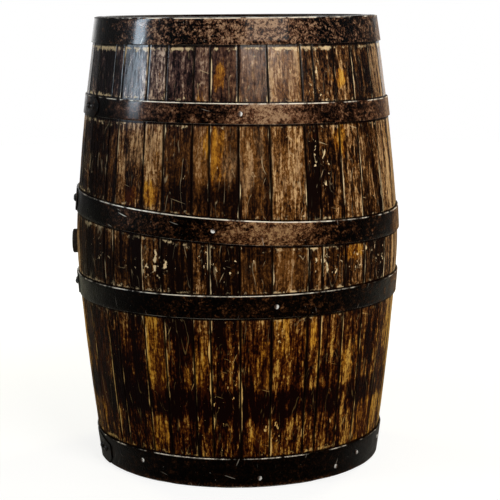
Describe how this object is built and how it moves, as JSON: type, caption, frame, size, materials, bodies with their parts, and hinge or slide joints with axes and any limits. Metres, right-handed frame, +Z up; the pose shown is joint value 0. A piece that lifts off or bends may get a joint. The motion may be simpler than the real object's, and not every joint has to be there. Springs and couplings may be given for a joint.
{
  "type": "oak cask liquor dispenser",
  "caption": "Upright oak spirit cask of bent staves under riveted hoops, with a tapered bung in its side and a small wooden tap low at the back.",
  "frame": {"origin": "centre of the ring of stave ends that the cask stands on, on the cask axis at floor level", "axes": "+Z up along the cask axis, -X out through the bung, +Y out along the tap"},
  "size_m": [0.6714, 0.6753, 0.898],
  "materials": {
    "stave_oak": "worn dark oiled oak",
    "head_oak": "worn dark oak",
    "dowel_beech": "plain",
    "hoop_steel": "dark rusted strip steel",
    "rivet_steel": "worn",
    "nail_steel": "bright, worn",
    "bung_wood": "dark, stained",
    "tap_wood": "turned hardwood",
    "cork": "matt"
  },
  "bodies": {
    "cask": {"bottom_head_board_1": "head_oak", "bottom_head_board_2": "head_oak", "bottom_head_board_3": "head_oak", "bottom_head_board_4": "head_oak", "bottom_head_board_5": "head_oak", "bottom_head_board_6": "head_oak", "bottom_head_hoop": "hoop_steel", "bung_stave": "stave_oak", "head_dowels": "dowel_beech", "hoop_nails": "nail_steel", "hoop_rivets": "rivet_steel", "lower_bilge_hoop": "hoop_steel", "stave_01": "stave_oak", "stave_02": "stave_oak", "stave_03": "stave_oak", "stave_04": "stave_oak", "stave_05": "stave_oak", "stave_06": "stave_oak", "stave_07": "stave_oak", "stave_08": "stave_oak", "stave_09": "stave_oak", "stave_10": "stave_oak", "stave_11": "stave_oak", "stave_12": "stave_oak", "stave_13": "stave_oak", "stave_14": "stave_oak", "stave_15": "stave_oak", "stave_16": "stave_oak", "stave_17": "stave_oak", "stave_18": "stave_oak", "stave_19": "stave_oak", "stave_20": "stave_oak", "stave_21": "stave_oak", "stave_22": "stave_oak", "stave_23": "stave_oak", "stave_24": "stave_oak", "stave_25": "stave_oak", "stave_26": "stave_oak", "stave_27": "stave_oak", "stave_28": "stave_oak", "stave_29": "stave_oak", "stave_30": "stave_oak", "stave_31": "stave_oak", "tap_body": "tap_wood", "tap_cork": "cork", "tap_stave": "stave_oak", "top_head_board_1": "head_oak", "top_head_board_2": "head_oak", "top_head_board_3": "head_oak", "top_head_board_4": "head_oak", "top_head_board_5": "head_oak", "top_head_board_6": "head_oak", "top_head_hoop": "hoop_steel", "upper_bilge_hoop": "hoop_steel", "upper_quarter_hoop": "hoop_steel"},
    "bung": {"bung": "bung_wood"},
    "tap_key": {"tap_key": "tap_wood"}
  },
  "joints": [
    {"name": "bung_pull", "type": "slide", "parent": "cask", "child": "bung", "axis": [-1, 0, 0], "range_m": [0, 0.12]},
    {"name": "tap_key_turn", "type": "hinge", "parent": "cask", "child": "tap_key", "pos_m": [0, 0.32095, 0.098], "axis": [0, 0, 1], "range_deg": [0, 90]}
  ]
}
